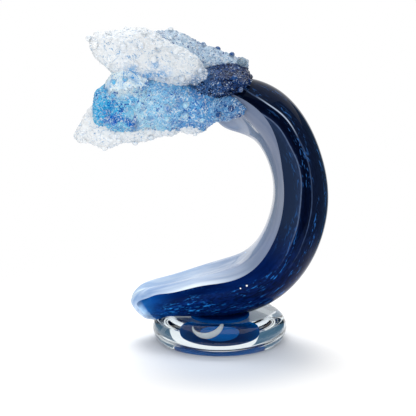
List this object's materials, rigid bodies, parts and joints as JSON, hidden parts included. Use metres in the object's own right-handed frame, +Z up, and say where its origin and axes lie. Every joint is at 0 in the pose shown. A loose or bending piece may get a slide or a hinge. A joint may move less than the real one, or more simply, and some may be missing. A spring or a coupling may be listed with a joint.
{
  "type": "glass wave sculpture",
  "caption": "Solid glass wave: a ribbon curves up from a round clear foot and breaks into a crest of bubbly glass foam.",
  "frame": {"origin": "centre of the foot's flat ground face", "axes": "+Z up, out of the foot; the ribbon rises on the +X side and the crest of foam reaches over to -X; -Y is the side the picture shows"},
  "size_m": [0.2221, 0.118, 0.2756],
  "materials": {
    "clear_glass": "clear polished glass",
    "cobalt_glass": "deep cobalt polished glass with lighter streaks",
    "opal_glass": "milky pale blue polished glass",
    "dark_foam": "dark blue bubbly glass",
    "grey_foam": "grey-blue bubbly glass",
    "clear_foam": "clear and white bubbly glass",
    "blue_foam": "blue bubbly glass",
    "pale_foam": "pale blue bubbly glass",
    "aqua_foam": "aqua bubbly glass"
  },
  "bodies": {
    "root": {"clear_foot": "clear_glass", "wave_core": "cobalt_glass", "opal_lining": "opal_glass", "cobalt_root": "cobalt_glass", "crest_root": "dark_foam", "front_lobe": "dark_foam", "back_crest": "grey_foam", "clear_crest": "clear_foam", "clear_skirt": "clear_foam", "under_clump": "clear_foam", "blue_mass": "blue_foam", "pale_spur": "pale_foam", "aqua_heart": "aqua_foam", "frit_clear": "clear_foam", "frit_aqua": "aqua_foam", "frit_cobalt": "dark_foam", "crest_bubble": "grey_foam"}
  },
  "joints": []
}
